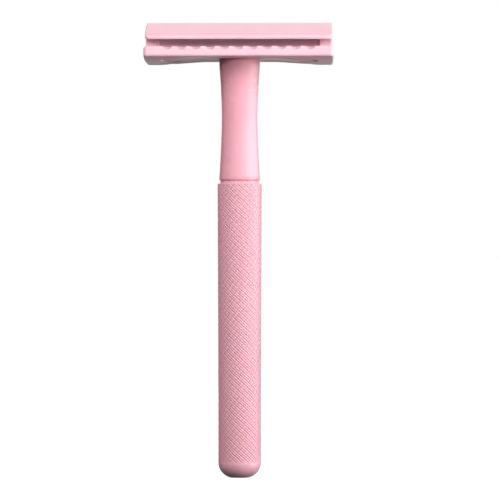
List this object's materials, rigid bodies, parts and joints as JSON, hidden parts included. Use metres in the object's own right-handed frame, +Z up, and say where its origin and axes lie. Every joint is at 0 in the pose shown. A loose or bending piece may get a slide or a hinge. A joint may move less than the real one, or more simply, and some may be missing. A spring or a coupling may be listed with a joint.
{
  "type": "double-edge safety razor",
  "caption": "Three-piece safety razor: curved cap, scalloped baseplate and flexed blade on a waisted neck with a diamond-knurled grip; twisting the head opens it.",
  "frame": {"origin": "centre of the flat foot at the bottom of the handle", "axes": "+Z up the handle to the head, +X along the blade's cutting edges, +Y from front to back of the head"},
  "size_m": [0.0436, 0.024, 0.1057],
  "materials": {
    "coat_head": "satin pink coat on zinc alloy",
    "coat_neck": "satin pink coat on brass, turned smooth",
    "coat_grip": "satin pink coat on brass, diamond knurled",
    "thread_steel": "turned stainless steel",
    "blade_steel": "ground strip with bright edges",
    "bush_brass": "turned brass"
  },
  "bodies": {
    "handle": {"grip": "coat_grip", "joining_stud": "thread_steel", "neck": "coat_neck", "thread_insert": "bush_brass"},
    "plate": {"baseplate": "coat_head"},
    "blade_strip": {"blade": "blade_steel"},
    "cap_unit": {"cap": "coat_head", "cap_stud": "thread_steel", "post_left": "thread_steel", "post_right": "thread_steel"}
  },
  "joints": [
    {"name": "head_turn", "type": "hinge", "parent": "handle", "child": "plate", "pos_m": [0, 0, 0.0979], "axis": [0, 0, 1], "range_deg": [0, 3600]},
    {"name": "cap_lift", "type": "slide", "parent": "plate", "child": "cap_unit", "axis": [0, 0, 1], "range_m": [0, 0.0081]},
    {"name": "blade_lift", "type": "slide", "parent": "plate", "child": "blade_strip", "axis": [0, 0, 1], "range_m": [0, 0.0041]}
  ],
  "couplings": [
    {"joint": "cap_lift", "follows": "head_turn", "m_per_rad": 0.00012732},
    {"joint": "blade_lift", "follows": "head_turn", "m_per_rad": 0.00006366}
  ]
}
